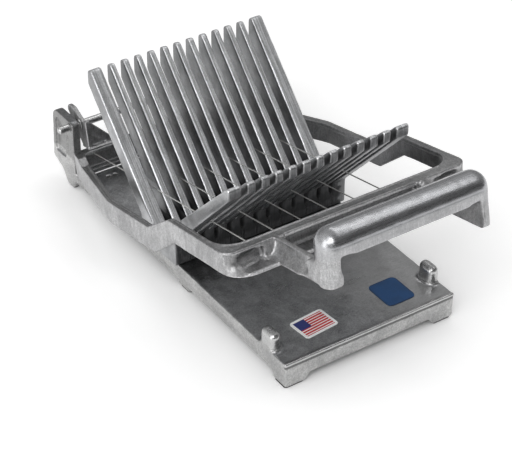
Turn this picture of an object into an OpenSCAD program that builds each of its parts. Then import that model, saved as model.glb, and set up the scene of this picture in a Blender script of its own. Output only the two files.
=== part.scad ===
// Lever cutter for blocks of cheese: a finned V cradle on a skirted base, and a hinged wire frame.
// The arm is drawn level, with its own origin on the hinge rod, and then raised about the rod.
// Y runs from the front of the base to the back, and the origin is on the table below the middle.

/* [Base] */
// Width of the base over its side skirts
base_width = 122; // [116:1:124]
// Depth of the base plate, from its front edge to its rear edge
base_depth = 228; // [222:1:229]
// Height of the plate's top above the table
plate_top = 17.8; // [16.6:0.2:18]
// Thickness of the base plate
plate_thick = 4.5; // [3.5:0.5:6]
// Thickness of the skirt around the plate
skirt_thick = 4; // [3:0.5:6]
// Height of the skirt's lower edge above the table
skirt_bottom = 5.4; // [4.4:0.2:7]
// Depth of the step along the lower part of the side skirts
skirt_step = 0.8; // [0.4:0.1:1.5]
// Radius of the bead along the front and rear edges of the plate
bead_radius = 1.2; // [0.8:0.1:1.5]

/* [Feet and rests] */
// Width of a front foot
foot_width = 15; // [12:1:20]
// Depth of a front foot
foot_depth = 13; // [10:1:18]
// Distance from the front edge to the middle of the middle feet
middle_foot_place = 112; // [90:1:125]
// Thickness of the rubber pads under the feet
pad_thick = 1; // [0.6:0.1:1.6]
// Height of the rests that stop the arm, above the table
rest_top = 29.5; // [27:0.1:29.5]
// Distance from the front edge of the base to the middle of the rests
rest_place = 20.2; // [19:0.2:22]
// Length of a rest between the middles of its rounded ends
rest_length = 5.6; // [4:0.2:8]
// Radius of a rest
rest_radius = 3.9; // [3.4:0.1:4.2]

/* [Cradle] */
// Distance from one fin to the next
fin_pitch = 9.525; // [9:0.025:9.6]
// Thickness of a fin
fin_thick = 4.8; // [4:0.1:5.2]
// Thickness of the first and last fins
end_fin_thick = 8.75; // [7:0.25:9]
// Height of a fin's front bar where it leaves the cradle's foot
front_bar_height = 14; // [11:0.5:15]
// Height of a fin's rear bar at its tip
rear_bar_height = 15.5; // [11:0.5:16]
// Height of the first fin's rear bar at its tip
first_bar_height = 12.5; // [10:0.5:15]
// Distance from the front edge of the base to the bottom of the V
cradle_place = 133.5; // [131:0.5:136]
// Height of the bottom of the V above the table
cradle_floor = 29.4; // [29.2:0.1:30.5]
// Level reach of the V's rear arm, from its bottom to the tips
cradle_reach = 76; // [60:1:78]
// Height of a fin's front face
tip_face = 9.8; // [7:0.2:11]
// Depth of the cradle's foot, front to back
cradle_foot_depth = 39.8; // [34:0.2:44]
// Height of the bottoms of the slots in the cradle's foot
slot_floor = 27; // [26:0.1:27]

/* [Hinge] */
// Distance from the front edge of the base to the hinge rod
rod_place = 244.8; // [244.4:0.2:246]
// Height of the hinge rod above the table
rod_height = 47.6; // [47.4:0.2:50]
// Radius of the hinge rod
rod_radius = 2.4; // [2:0.1:2.6]
// Length of the rod that stands out past each upright
rod_overhang = 8; // [6:0.5:10]
// Running clearance of the arm's ears on the rod
rod_clearance = 0.08; // [0.02:0.01:0.1]
// Distance that each upright stands out past the side of the base
upright_step = 1; // [0:0.25:1.5]
// Thickness of an upright
upright_thick = 6; // [5:0.25:6]
// Distance of the uprights' rear edge behind the rod
upright_rear = 25.2; // [20:0.2:28]
// Thickness of the arm's ears
ear_thick = 3; // [2.5:0.25:3.25]
// Gap between an upright and the arm's ear beside it
ear_gap = 1.8; // [1.4:0.1:2]

/* [Arm] */
// Angle that the arm is raised to at rest
arm_lift = 12; // [0:1:60]
// Width of the arm's frame at its front
arm_width = 170.6; // [166:0.2:176]
// Width of the arm's frame at the bend, where its sides begin to draw in
bend_width = 166; // [160:1:170]
// Width of the arm's frame at its rear wall
arm_rear_width = 130; // [129:1:136]
// Distance of the frame's front edge from the rod
arm_front = 224.5; // [223:0.5:226]
// Distance of the frame's rear wall from the rod
arm_rear = 5; // [4.8:0.1:6]
// Thickness of the frame's side walls
arm_wall = 3; // [2:0.25:3.5]
// Width of the rims along the frame's sides
rim_width = 4.75; // [4:0.25:6]
// Thickness of the frame's rims
rim_thick = 3; // [2:0.25:3.5]
// Depth of the front bar, front to back
front_bar_depth = 8.75; // [8.5:0.25:11]
// Depth of the recess in the front bar
recess_depth = 3.75; // [2.5:0.25:4]
// Distance that the lower flange of the front bar stands out ahead of the upper one
flange_reach = 9; // [5:0.5:10]
// Radius of the frame's front corners
arm_corner = 8; // [6:1:12]
// Level distance from the rod to the bend where the sides begin to draw in
bend_place = 83; // [60:1:110]

/* [Handle] */
// Width over the handle's ends
handle_width = 114; // [110:1:118]
// Distance of the handle's front face from the rod
handle_front = 283.5; // [276:0.5:292]
// Radius of the handle's rounded top
handle_radius = 10; // [8:0.5:11]
// Height of the handle's top above the rod, with the arm level
handle_top = 17.5; // [14:0.5:20]
// Wall of the hollow handle
handle_wall = 3; // [2.5:0.25:4]
// Width of a handle bracket
bracket_width = 9; // [8:0.5:10]

/* [Wires] */
// Radius of a cutting wire
wire_radius = 0.4; // [0.3:0.05:0.5]
// Height of the wires below the rod, with the arm level
wire_drop = 18.2; // [18.2:0.05:18.4]
// Radius of the shank of a clamp screw
clamp_radius = 1.5; // [1.25:0.05:1.6]

/* [Labels] */
// Width of the striped label
striped_width = 24; // [18:1:30]
// Depth of the striped label
striped_depth = 17.5; // [12:0.5:22]
// Width of the plain label
plain_width = 20; // [14:1:24]
// Depth of the plain label
plain_depth = 23; // [16:1:26]
// Thickness of a label
label_thick = 0.25; // [0.15:0.05:0.5]

/* [Hidden] */
$fn = 48;
corner_steps = 6;
cut = 1;

// Outlines with rounded corners
function unit(a) = a / norm(a);
function corner_angle(a, b, c) = acos(max(-1, min(1, unit(a - b) * unit(c - b))));
function turn_of(a, b) = let (d = b - a) d > 180 ? d - 360 : (d < -180 ? d + 360 : d);
function corner_arc(a, b, c, r) =
    let (
        half = corner_angle(a, b, c) / 2,
        middle = b + unit(unit(a - b) + unit(c - b)) * r / sin(half),
        first = b + unit(a - b) * r / tan(half) - middle,
        last = b + unit(c - b) * r / tan(half) - middle,
        start = atan2(first[1], first[0]),
        sweep = turn_of(start, atan2(last[1], last[0]))
    )
    [for (k = [0 : corner_steps])
        middle + r * [cos(start + sweep * k / corner_steps), sin(start + sweep * k / corner_steps)]];
// Each entry of a path is [x, y, corner radius], and a radius of 0 keeps the corner sharp
function rounded(path) =
    let (n = len(path), at = [for (p = path) [p[0], p[1]]])
    [for (i = [0 : n - 1])
        each path[i][2] > 0
            ? corner_arc(at[(i + n - 1) % n], at[i], at[(i + 1) % n], path[i][2])
            : [at[i]]];

// Base
skirt_side_top = 9.5;
foot_slope = 3;
foot_inset = 2;
leg_width = 11;
leg_top = 13;
rib_thick = 3;
rib_bottom = 8;
upright_top = rod_height + 4;
upright_front = rod_place - 4;
upright_side = base_width / 2 + upright_step;
upright_inner = upright_side - upright_thick;
upright_back = rod_place + upright_rear;
upright_foot_front = rod_place - 1;
upright_foot_back = rod_place + 7;
foot_corner = 1.5;
top_corner = 3.5;
web_recess = 2;
web_rim = 4;
web_front = 7.5;
web_lift = 2.2;
web_slope = [2, 5];
web_corners = [2, 2, 3, 1];
slit_width = 2;
slit_place = 2.5;
slit_drop = 4;
// Corners of an upright ahead of its foot and behind it: distance behind the rod, height and radius
upright_front_points = [[-11, 9.8, 0], [-4, 6.8, 2]];
upright_rear_points = [[10.4, 5.6, 2], [13.7, 9.6, 4], [24.8, 13.4, 3], [22.2, upright_top, 6]];
bead_groove = [0.7, 1];
bead_groove_drop = 3.2;
screw_edge = 13;
screw_spacing = (base_width - 2 * screw_edge) / 3;
screw_places = [for (k = [-3 : 2 : 3]) k * screw_spacing / 2];
rib_places = [-screw_spacing - rib_thick, screw_spacing];
slot_size = [3.6, 3.4];
slot_corner = [11.8, 9];
wash_hole = [18.1, 7.4];
wash_hole_radius = 1.5;
pad_margin = 1;
pad_corner = 1.5;
middle_foot_width = 12;
middle_foot_depth = 12;
rod_hole_radius = rod_radius + 0.05;

// Cradle
fin_half = 6;
gap_radius = (fin_pitch - fin_thick) / 2;
front_extra = 3.6;
front_rise = 1.3;
rear_rise = 2.3;
rear_cap = 4;
rear_cap_drop = 1;
rear_bar_growth = 2.5;
fin_corners = [1.5, 2, 1.5, 2, 2, 4, 2.5, 1.5];
cradle_half_width = fin_half * fin_pitch - fin_thick / 2 + end_fin_thick;
end_fin_place = cradle_half_width - end_fin_thick / 2;
screw_radius = 2.5;
screw_reach = 7;
screw_head_radius = 4.5;
screw_head_height = 3;
screw_socket_radius = 2.2;
screw_socket_depth = 1.8;
washer_radius = 5.5;
washer_thick = 1;
screw_slack = 0.1;

// Arm, measured from the rod with the arm level: forward is negative
ear_outer = upright_inner - ear_gap;
ear_inner = ear_outer - ear_thick;
// Corners of an ear above the frame: distance behind the rod, height above it and radius
ear_points = [[-3.4, 2.6, 3], [6.5, 9.5, 2.5], [13.5, 10.8, 3.5], [15.5, 6.6, 3], [6, -7, 4]];
ear_front_corner = [-3, 2];
ear_root = [6, 1];
gusset_foot = 21.2;
gusset_thick = 3;
gusset_hollow_top = 4.5;
gusset_hollow_margin = 6.7;
gusset_web = 0.6;
rod_relief = 0.3;
clip_thick = 0.8;
clip_radius = 3.8;
clip_slit = 1.8;
clip_place = ear_outer + ear_gap / 2;
groove_depth = 0.4;
rod_chamfer = 0.9;
side_rim_top = -18.2;
front_rim_top = -4.2;
rear_rim_top = -15.2;
side_bottom = -33.2;
rear_bottom = -31;
front_bottom = -17.8;
joggle_front = -161;
joggle_back = -133;
joggle_foot_front = -165;
joggle_foot_back = -139;
rear_rise_front = -24;
rear_rise_back = -17;
rear_rim_depth = 7.5;
rear_foot_depth = 4;
rear_slope_depth = 8;
rear_corners = [5, 6];
bend_corner = 12;
front_inner = -arm_front + front_bar_depth;
front_lip = 2.8;
flange_groove = [0.9, 0.6];
inner_corner = 14;
bracket_outer = handle_width / 2;
bracket_inner = bracket_outer - bracket_width;
bracket_low = -16.4;
bracket_tail = 3;
bracket_round = 4.5;
bracket_clearance = 1;
recess_corner = 1.5;
// Section of a bracket: distance in from its outer face, and height above its foot or below its top
bracket_flare = [[0, 1.2], [2.6, 3.8], [4.3, 7]];
bracket_edge = [[5, -1.6], [4.1, -1], [4.1, 0], [7.4, 0]];
bracket_inner_drop = 3;
nub_radius = 2.2;
nub_place = [0.6, 1.2, 1.4];
handle_axis = [-handle_front + handle_radius, handle_top - handle_radius];
handle_back = -handle_front + 2 * handle_radius;
handle_underside = 1.2;
ball_place = bracket_outer - handle_radius;
riser_step = [1, 2];

// Wires
wire_count = fin_half;
wire_height = -wire_drop;
wire_places = [for (k = [0 : wire_count - 1]) (2 * k - fin_half + 0.5) * fin_pitch];
wire_fit = 0.05;
clamp_place = front_inner - 2.1;
clamp_offset = clamp_radius + wire_radius + wire_fit;
clamp_head_radius = 2.2;
clamp_head_height = 1.8;
clamp_washer_thick = 0.5;
clamp_slot = [0.7, 0.9];
clamp_depth = 5;
clamp_reach = 4.5;
clamp_loop = 250;
wire_hole_slack = 0.15;
ferrule_radius = 1.4;
ferrule_length = 3.5;

// Middles of the labels, measured from the front left and the front right corner of the base
striped_place = [35.7, 22.4];
striped_turn = 5;
plain_place = [30, 22];
label_corners = [2.2, 3.5];

// Outline of a handle bracket's front part, as distance from the rod and height above it
riser_outline = rounded([
    [handle_back + bracket_tail, bracket_low, 0],
    [handle_back + bracket_tail, front_rim_top - riser_step[0], riser_step[0]],
    [handle_back, front_rim_top + riser_step[1], riser_step[1]], [handle_back, handle_axis[1], 0],
    [-handle_front, handle_axis[1], 0], [-handle_front, bracket_low, bracket_round]
]);
front_reach = rod_place
    + min([for (p = riser_outline) p[0] * cos(arm_lift) + p[1] * sin(arm_lift)]);
middle_depth = (front_reach + upright_back) / 2;

module placed() {
    translate([0, -middle_depth, 0]) children();
}

module on_arm() {
    placed() translate([0, rod_place, rod_height]) rotate([-arm_lift, 0, 0]) children();
}

// Extrudes an outline given in Y and Z along X, between two values of X
module along_x(from, to) {
    translate([from, 0, 0]) rotate([90, 0, 90]) linear_extrude(to - from) children();
}

// Extrudes an outline given in X and Z along Y, between two values of Y
module along_y(from, to) {
    translate([0, to, 0]) rotate([90, 0, 0]) linear_extrude(to - from) children();
}

module both_sides() {
    children();
    mirror([1, 0, 0]) children();
}

module rod_along_x(from, to, radius) {
    translate([from, 0, 0]) rotate([0, 90, 0]) cylinder(h = to - from, r = radius);
}

// Base casting
module plate_and_skirt() {
    half = base_width / 2;
    difference() {
        translate([-half, 0, skirt_bottom]) cube([base_width, base_depth, plate_top - skirt_bottom]);
        translate([-half + skirt_thick, skirt_thick, skirt_bottom - cut])
            cube([base_width - 2 * skirt_thick, base_depth - 2 * skirt_thick,
                plate_top - plate_thick - skirt_bottom + cut]);
        both_sides() translate([half - skirt_step, foot_depth + cut, skirt_bottom - cut])
            cube([skirt_step + cut, base_depth, skirt_side_top - skirt_bottom + cut]);
        for (y = [-cut, base_depth - bead_groove[0]])
            translate([-half - cut, y, plate_top - bead_groove_drop])
                cube([base_width + 2 * cut, cut + bead_groove[0], bead_groove[1]]);
    }
    for (y = [0.5 * bead_radius, base_depth - 0.5 * bead_radius])
        translate([0, y, plate_top - 0.4 * bead_radius])
            rod_along_x(-half, half, bead_radius);
}

module stiffening_ribs() {
    for (x = rib_places)
        translate([x, cut, rib_bottom])
            cube([rib_thick, base_depth - 2 * cut, plate_top - cut - rib_bottom]);
}

module front_feet() {
    half = base_width / 2;
    inner = half - foot_width;
    top = plate_top - plate_thick;
    both_sides() along_y(0, foot_depth)
        polygon(rounded([
            [half, top, 0], [inner - foot_slope, top, 0], [inner - foot_slope, skirt_bottom, 0],
            [inner, pad_thick, 1.5], [half, pad_thick, 2]
        ]));
}

module middle_feet() {
    side = base_width / 2 - foot_inset;
    inner = side - middle_foot_width;
    both_sides() translate([0, middle_foot_place, 0]) along_y(-middle_foot_depth / 2, middle_foot_depth / 2)
        polygon(rounded([
            [side, skirt_side_top, 0], [inner - foot_slope, skirt_side_top, 0],
            [inner, pad_thick, 1.5], [side, pad_thick, 1]
        ]));
}

module rests() {
    side = base_width / 2 - rest_radius;
    ball = rest_top - rest_radius;
    both_sides() {
        for (y = [rest_place - rest_length / 2, rest_place + rest_length / 2]) translate([side, y, 0]) {
            translate([0, 0, plate_top - cut]) cylinder(h = ball - plate_top + cut, r = rest_radius);
            translate([0, 0, ball]) sphere(r = rest_radius);
        }
        translate([side, rest_place + rest_length / 2, ball]) rotate([90, 0, 0])
            cylinder(h = rest_length, r = rest_radius);
        translate([side - rest_radius, rest_place - rest_length / 2, plate_top - cut])
            cube([2 * rest_radius, rest_length, ball - plate_top + cut]);
    }
}

module legs() {
    both_sides() translate([base_width / 2 - leg_width, base_depth - skirt_thick, skirt_bottom])
        cube([leg_width, upright_foot_back - base_depth + skirt_thick, leg_top - skirt_bottom]);
}

upright_outline = rounded(concat(
    [[upright_front, leg_top - cut, 0]],
    [for (p = upright_front_points) p + [rod_place, 0, 0]],
    [[upright_foot_front, pad_thick, foot_corner], [upright_foot_back, pad_thick, foot_corner]],
    [for (p = upright_rear_points) p + [rod_place, 0, 0]],
    [[upright_front, upright_top, top_corner]]
));

module upright() {
    front = rod_place + web_front;
    rear = upright_back - web_rim;
    top = upright_top - web_rim;
    bottom = plate_top + web_lift;
    difference() {
        along_x(upright_inner, upright_side) polygon(upright_outline);
        along_x(upright_side - web_recess, upright_side + cut)
            polygon(rounded([
                [front, bottom, web_corners[0]], [rear, bottom, web_corners[1]],
                [rear - web_slope[0], top, web_corners[2]], [front, top - web_slope[1], web_corners[3]]
            ]));
        translate([upright_side - web_recess / 2, rod_place + slit_place, bottom - slit_drop])
            cube([web_recess, slit_width, rod_height - slit_drop - bottom]);
        translate([0, rod_place, rod_height])
            rod_along_x(upright_inner - cut, upright_side + cut, rod_hole_radius);
    }
}

module base_casting() {
    color("dimgray") placed() difference() {
        union() {
            plate_and_skirt();
            stiffening_ribs();
            front_feet();
            middle_feet();
            rests();
            legs();
            both_sides() upright();
        }
        for (x = screw_places) translate([x, cradle_place, 0])
            cylinder(h = plate_top + cut, r = screw_radius + screw_slack);
        translate([0, base_depth, plate_top - plate_thick - cut]) {
            translate([slot_corner[0] - base_width / 2, -slot_corner[1], 0])
                cube([slot_size[0], slot_size[1], plate_thick + 2 * cut]);
            translate([wash_hole[0] - base_width / 2, -wash_hole[1], 0])
                cylinder(h = plate_thick + 2 * cut, r = wash_hole_radius);
        }
    }
}

// Rubber pads under the feet
module pad(x_low, x_high, y_low, y_high) {
    left = x_low + pad_margin;
    right = x_high - pad_margin;
    front = y_low + pad_margin;
    rear = y_high - pad_margin;
    color("black") placed() linear_extrude(pad_thick)
        polygon(rounded([
            [left, front, pad_corner], [right, front, pad_corner],
            [right, rear, pad_corner], [left, rear, pad_corner]
        ]));
}

module front_pad() {
    pad(base_width / 2 - foot_width, base_width / 2, 0, foot_depth);
}

module middle_pad() {
    side = base_width / 2 - foot_inset;
    pad(side - middle_foot_width, side, middle_foot_place - middle_foot_depth / 2,
        middle_foot_place + middle_foot_depth / 2);
}

module rear_pad() {
    pad(upright_inner, upright_side, upright_foot_front, upright_foot_back);
}

// Finned cradle
module fin(thick, rear_height) {
    front = -(cradle_reach + front_extra);
    front_top = cradle_reach + front_extra + front_rise;
    back = cradle_reach + rear_cap;
    back_top = cradle_reach + rear_rise;
    foot = cradle_foot_depth / 2;
    foot_level = plate_top - cradle_floor;
    translate([0, cradle_place, cradle_floor]) along_x(-thick / 2, thick / 2)
        polygon(rounded([
            [0, 0, fin_corners[0]], [front, front_top, fin_corners[1]],
            [front, front_top - tip_face, fin_corners[2]],
            [-foot, foot - front_bar_height, fin_corners[3]],
            [-foot, foot_level, 0], [foot, foot_level, 0],
            [foot, foot - rear_height - rear_bar_growth, fin_corners[4]],
            [back, back - rear_height, fin_corners[5]],
            [back, back_top - rear_cap_drop, fin_corners[6]], [cradle_reach, back_top, fin_corners[7]]
        ]));
}

module fin_cradle() {
    foot = cradle_foot_depth / 2;
    slot_axis = slot_floor + gap_radius;
    color("silver") placed() difference() {
        union() {
            for (k = [-fin_half + 1 : fin_half - 1]) translate([k * fin_pitch, 0, 0])
                fin(fin_thick, rear_bar_height);
            translate([-end_fin_place, 0, 0]) fin(end_fin_thick, first_bar_height);
            translate([end_fin_place, 0, 0]) fin(end_fin_thick, rear_bar_height);
            translate([-cradle_half_width + cut, cradle_place - foot, plate_top])
                cube([2 * (cradle_half_width - cut), cradle_foot_depth, slot_axis - plate_top]);
        }
        for (k = [-fin_half : fin_half - 1]) translate([(k + 0.5) * fin_pitch, cradle_place, slot_axis])
            rotate([90, 0, 0]) cylinder(h = cradle_foot_depth + 2 * cut, r = gap_radius, center = true);
        for (x = screw_places) translate([x, cradle_place, plate_top - cut])
            cylinder(h = screw_reach + 2 * cut, r = screw_radius + screw_slack);
    }
}

module cradle_screws() {
    head_top = plate_top - plate_thick - washer_thick;
    head_bottom = head_top - screw_head_height;
    color("gray") placed() for (x = screw_places) translate([x, cradle_place, 0]) {
        translate([0, 0, head_top]) cylinder(h = plate_top + screw_reach - head_top, r = screw_radius);
        difference() {
            translate([0, 0, head_bottom]) cylinder(h = screw_head_height, r = screw_head_radius);
            translate([0, 0, head_bottom - cut])
                cylinder(h = cut + screw_socket_depth, r = screw_socket_radius, $fn = 6);
        }
    }
}

module cradle_washers() {
    color("silver") placed() for (x = screw_places)
        translate([x, cradle_place, plate_top - plate_thick - washer_thick]) difference() {
            cylinder(h = washer_thick, r = washer_radius);
            translate([0, 0, -cut]) cylinder(h = washer_thick + 2 * cut, r = screw_radius + screw_slack);
        }
}

// Hinge rod, with a groove for a clip in each gap between an upright and an ear
module clip_groove(x) {
    width = clip_thick + 2 * wire_fit;
    translate([x - width / 2, 0, 0]) rotate([0, 90, 0]) difference() {
        cylinder(h = width, r = rod_radius + cut);
        translate([0, 0, -cut]) cylinder(h = width + 2 * cut, r = rod_radius - groove_depth);
    }
}

module hinge_rod() {
    end = upright_side + rod_overhang;
    color("lightgray") placed() translate([0, rod_place, rod_height]) difference() {
        union() {
            rod_along_x(-end + rod_chamfer, end - rod_chamfer, rod_radius);
            both_sides() translate([end - rod_chamfer, 0, 0]) rotate([0, 90, 0])
                cylinder(h = rod_chamfer, r1 = rod_radius, r2 = rod_radius - rod_chamfer);
        }
        clip_groove(clip_place);
        clip_groove(-clip_place);
    }
}

module rod_clip() {
    inner_radius = rod_radius - groove_depth + wire_fit;
    color("dimgray") placed() translate([clip_place - clip_thick / 2, rod_place, rod_height])
        rotate([0, 90, 0]) difference() {
            cylinder(h = clip_thick, r = clip_radius);
            translate([0, 0, -cut]) cylinder(h = clip_thick + 2 * cut, r = inner_radius);
            translate([0, -clip_slit / 2, -cut]) cube([clip_radius + cut, clip_slit, clip_thick + 2 * cut]);
        }
}

// Labels lie on the plate
module label(place, width, depth, turn, corner) {
    placed() translate([place[0], place[1], plate_top]) rotate([0, 0, turn]) linear_extrude(label_thick)
        polygon(rounded([
            [-width / 2, -depth / 2, corner], [width / 2, -depth / 2, corner],
            [width / 2, depth / 2, corner], [-width / 2, depth / 2, corner]
        ]));
}

module striped_label() {
    color("white") label(striped_place - [base_width / 2, 0], striped_width, striped_depth,
        striped_turn, label_corners[0]);
}

module plain_label() {
    color("navy") label([base_width / 2 - plain_place[0], plain_place[1]], plain_width, plain_depth,
        0, label_corners[1]);
}

// Plan of the frame, drawn in from its outer edge by a different amount at the sides, front and rear
function plan(side, front, rear, front_corner, rear_corner) = rounded([
    [-arm_width / 2 + side, -arm_front + front, front_corner],
    [arm_width / 2 - side, -arm_front + front, front_corner],
    [bend_width / 2 - side, -bend_place, bend_corner],
    [arm_rear_width / 2 - side, -arm_rear - rear, rear_corner],
    [-arm_rear_width / 2 + side, -arm_rear - rear, rear_corner],
    [-bend_width / 2 + side, -bend_place, bend_corner]
]);

// Side view of the frame's top edge, from the front to the rear, and of its bottom edge
top_line = [
    [-arm_front - cut, front_rim_top], [joggle_front, front_rim_top], [joggle_back, side_rim_top],
    [rear_rise_front, side_rim_top], [rear_rise_back, rear_rim_top], [-arm_rear + cut, rear_rim_top]
];
bottom_line = [
    [-arm_rear + cut, rear_bottom], [-arm_rear - rear_rim_depth - rear_foot_depth, rear_bottom],
    [-arm_rear - rear_rim_depth - rear_foot_depth - rear_slope_depth, side_bottom],
    [joggle_foot_back, side_bottom],
    [joggle_foot_front, front_bottom], [-arm_front - cut, front_bottom]
];
frame_height = 60;

module plan_prism(points) {
    translate([0, 0, -frame_height]) linear_extrude(2 * frame_height) polygon(points);
}

module frame_profile() {
    along_x(-arm_width, arm_width) polygon(concat(top_line, bottom_line));
}

module rim_profile() {
    along_x(-arm_width, arm_width)
        polygon(concat(top_line, [for (k = [len(top_line) - 1 : -1 : 0]) top_line[k] - [0, rim_thick]]));
}

module frame_walls() {
    intersection() {
        frame_profile();
        difference() {
            plan_prism(plan(0, 0, 0, arm_corner, rear_corners[0]));
            plan_prism(plan(arm_wall, front_bar_depth, arm_wall, inner_corner, rear_corners[1]));
        }
    }
    intersection() {
        rim_profile();
        difference() {
            plan_prism(plan(0, 0, 0, arm_corner, rear_corners[0]));
            plan_prism(plan(rim_width, front_bar_depth, rear_rim_depth, inner_corner, rear_corners[1]));
        }
    }
    translate([-arm_rear_width / 2 + arm_wall, -arm_rear - rear_rim_depth, rear_bottom])
        cube([arm_rear_width - 2 * arm_wall, rear_rim_depth, rim_thick]);
}

// Lower flange of the front bar, with a shallow groove along its front edge
module front_flange() {
    reach = arm_front + flange_reach;
    difference() {
        translate([0, 0, front_bottom]) linear_extrude(front_lip) intersection() {
            polygon(plan(0, -flange_reach, 0, inner_corner, rear_corners[0]));
            translate([-arm_width, -reach - cut]) square([2 * arm_width, reach + cut + front_inner - 1]);
        }
        translate([-arm_width / 2 + inner_corner, -reach - cut, front_bottom + flange_groove[0]])
            cube([arm_width - 2 * inner_corner, cut + flange_groove[1], flange_groove[0]]);
    }
}

// The front bar is a channel that opens to the front, between the brackets and outside them
module front_recesses() {
    low = front_bottom + front_lip;
    high = front_rim_top - rim_thick;
    end = arm_width / 2 - arm_corner;
    inner = bracket_inner - bracket_clearance;
    outer = bracket_outer + bracket_tail;
    for (span = [[-inner, inner], [outer, end], [-end, -outer]])
        along_y(-arm_front - cut, -arm_front + recess_depth)
            polygon(rounded([
                [span[0], low, recess_corner], [span[1], low, recess_corner],
                [span[1], high, recess_corner], [span[0], high, recess_corner]
            ]));
}

// A bracket is thin along its top edge and flares out to its foot
module brackets() {
    section = concat(
        [[bracket_inner, bracket_low], [bracket_outer, bracket_low]],
        [for (p = bracket_flare) [bracket_outer - p[0], bracket_low + p[1]]],
        [for (p = bracket_edge) [bracket_outer - p[0], front_rim_top + p[1]]],
        [[bracket_inner, front_rim_top - bracket_inner_drop]]
    );
    both_sides() {
        along_y(handle_back, -arm_front + cut) polygon(section);
        translate([bracket_inner + nub_place[0], -arm_front - nub_place[1], front_rim_top - nub_place[2]])
            sphere(r = nub_radius);
    }
}

// A riser carries each end of the handle: a half-round column above, and below it the bracket's foot
module riser() {
    step_level = front_rim_top + riser_step[1];
    back = handle_back + bracket_tail;
    intersection() {
        along_x(bracket_inner, bracket_outer) polygon(riser_outline);
        union() {
            translate([ball_place, handle_axis[0], bracket_low])
                cylinder(h = handle_axis[1] - bracket_low, r = handle_radius);
            translate([0, 0, bracket_low]) linear_extrude(step_level - bracket_low)
                polygon(rounded([
                    [0, -handle_front, 0], [bracket_outer, -handle_front, handle_radius],
                    [bracket_outer, back, 0], [0, back, 0]
                ]));
        }
    }
}

module handle_grip() {
    hollow = handle_radius - handle_wall;
    difference() {
        union() {
            along_x(-ball_place, ball_place) {
                translate(handle_axis) circle(r = handle_radius);
                translate([-handle_front, handle_underside])
                    square([2 * handle_radius, handle_axis[1] - handle_underside]);
            }
            both_sides() translate([ball_place, handle_axis[0], handle_axis[1]]) sphere(r = handle_radius);
        }
        along_x(-bracket_inner, bracket_inner) {
            translate(handle_axis) circle(r = hollow);
            translate([-handle_front + handle_wall, handle_underside - cut])
                square([2 * hollow, handle_axis[1] - handle_underside + cut]);
            translate([-handle_front - cut, handle_underside - 2 * handle_radius])
                square([2 * handle_radius + 2 * cut, 2 * handle_radius]);
        }
    }
    both_sides() riser();
}

// Ears that run on the rod, each with a gusset to the rear rim
module ears() {
    wall_front = -arm_rear - arm_wall;
    root = -arm_rear + ear_root[0];
    ear_outline = rounded(concat(
        [[wall_front, rear_rim_top - ear_root[1], 0]],
        [[wall_front, ear_front_corner[0], ear_front_corner[1]]],
        ear_points,
        [[root, rear_rim_top + ear_root[1], ear_root[1]], [root, rear_rim_top - ear_root[1], 0]]
    ));
    foot = ear_outer - gusset_foot;
    gusset = [
        [ear_outer, gusset_thick], [ear_outer - gusset_thick, gusset_thick], [foot, rear_rim_top],
        [foot, rear_rim_top - cut], [ear_outer, rear_rim_top - cut]
    ];
    hollow_side = ear_outer - gusset_thick / 2;
    hollow_foot = rear_rim_top + gusset_web;
    both_sides() {
        difference() {
            along_x(ear_inner, ear_outer) polygon(ear_outline);
            rod_along_x(ear_inner - cut, ear_outer + cut, rod_radius + rod_clearance);
        }
        difference() {
            along_y(wall_front, -arm_rear + gusset_web) polygon(gusset);
            rod_along_x(0, ear_outer + cut, rod_radius + rod_relief);
            along_y(wall_front - cut, -arm_rear - gusset_web)
                polygon([
                    [hollow_side, -gusset_hollow_top], [hollow_side, hollow_foot],
                    [foot + gusset_hollow_margin, hollow_foot]
                ]);
        }
    }
}

module arm_frame() {
    color("darkgray") on_arm() difference() {
        union() {
            difference() {
                frame_walls();
                front_recesses();
            }
            front_flange();
            brackets();
            handle_grip();
            ears();
        }
        for (x = wire_places) {
            translate([x, -arm_rear + cut, wire_height]) rotate([90, 0, 0])
                cylinder(h = rear_rim_depth + 2 * cut, r = wire_radius + wire_hole_slack);
            translate([x + clamp_offset, clamp_place, front_bottom - cut])
                cylinder(h = clamp_depth + cut, r = clamp_radius + wire_fit);
        }
    }
}

// Cutting wires, each looped around its clamp screw
module cutting_wire(number) {
    x = wire_places[number - 1];
    color("gainsboro") on_arm() translate([x, 0, wire_height]) {
        translate([0, -arm_rear + ferrule_length, 0]) rotate([90, 0, 0])
            cylinder(h = ferrule_length - arm_rear - clamp_place, r = wire_radius);
        translate([clamp_offset, clamp_place, 0]) rotate([0, 0, 180])
            rotate_extrude(angle = clamp_loop) translate([clamp_offset, 0]) circle(r = wire_radius);
    }
}

module clamp_screws() {
    head_top = wire_height - wire_radius - clamp_washer_thick;
    head_bottom = head_top - clamp_head_height;
    tip = front_bottom + clamp_reach;
    color("silver") on_arm() for (x = wire_places) translate([x + clamp_offset, clamp_place, 0]) {
        translate([0, 0, head_top]) cylinder(h = tip - head_top, r = clamp_radius);
        difference() {
            translate([0, 0, head_bottom]) cylinder(h = clamp_head_height, r = clamp_head_radius);
            translate([-clamp_head_radius - cut, -clamp_slot[0] / 2, head_bottom - cut])
                cube([2 * clamp_head_radius + 2 * cut, clamp_slot[0], cut + clamp_slot[1]]);
        }
    }
}

module clamp_washers() {
    bottom = wire_height - wire_radius - clamp_washer_thick;
    color("lightgray") on_arm() for (x = wire_places)
        translate([x + clamp_offset, clamp_place, bottom]) difference() {
            cylinder(h = clamp_washer_thick, r = clamp_offset + wire_radius);
            translate([0, 0, -cut]) cylinder(h = clamp_washer_thick + 2 * cut, r = clamp_radius + wire_fit);
        }
}

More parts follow.
